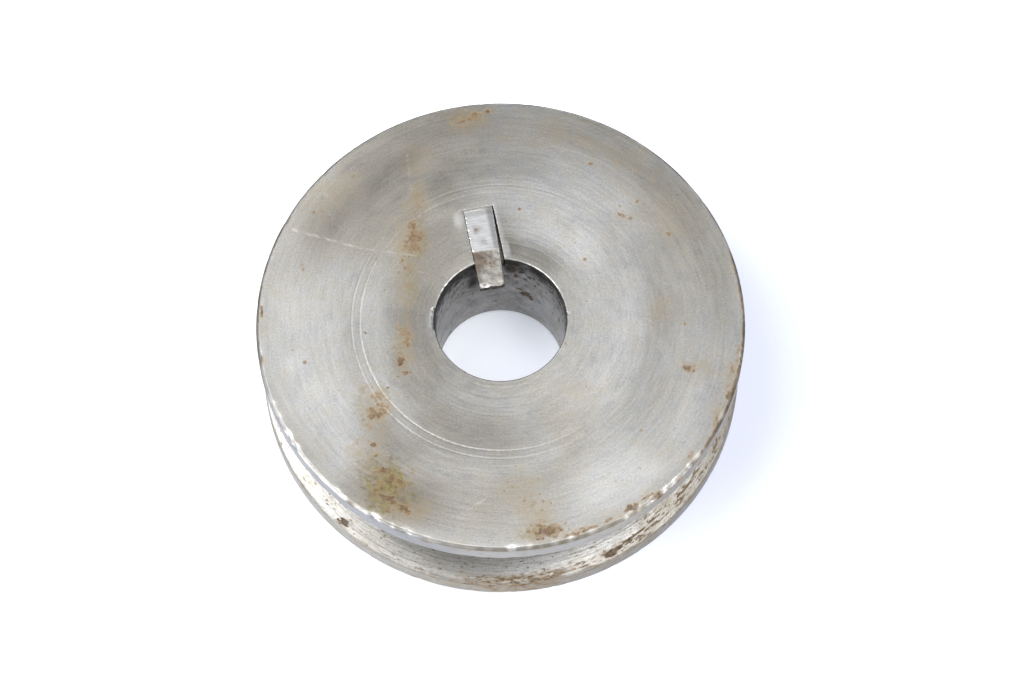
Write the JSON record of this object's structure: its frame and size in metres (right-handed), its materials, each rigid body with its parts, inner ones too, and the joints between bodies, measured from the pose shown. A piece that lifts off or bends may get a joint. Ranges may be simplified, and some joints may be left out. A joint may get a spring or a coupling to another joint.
{
  "type": "v belt pulley",
  "caption": "Turned steel V-belt pulley with a plain bore; a flat drive key lies in a radial slot in the front face, its end standing into the bore's mouth.",
  "frame": {"origin": "centre of the bore in the plane of the back face, which is the centre of the box's underside", "axes": "+Z along the shaft axis towards the front face that carries the key; the key's free end points from the outside towards the axis along a line 100.7 degrees from +X"},
  "size_m": [0.076, 0.076, 0.02],
  "materials": {
    "turned_steel": "turned steel, fine concentric tool marks, light rust staining",
    "key_steel": "ground bright on the outer facet, dull and lightly rusted towards the free end"
  },
  "bodies": {
    "root": {"pulley_body": "turned_steel", "drive_key": "key_steel"}
  },
  "joints": []
}
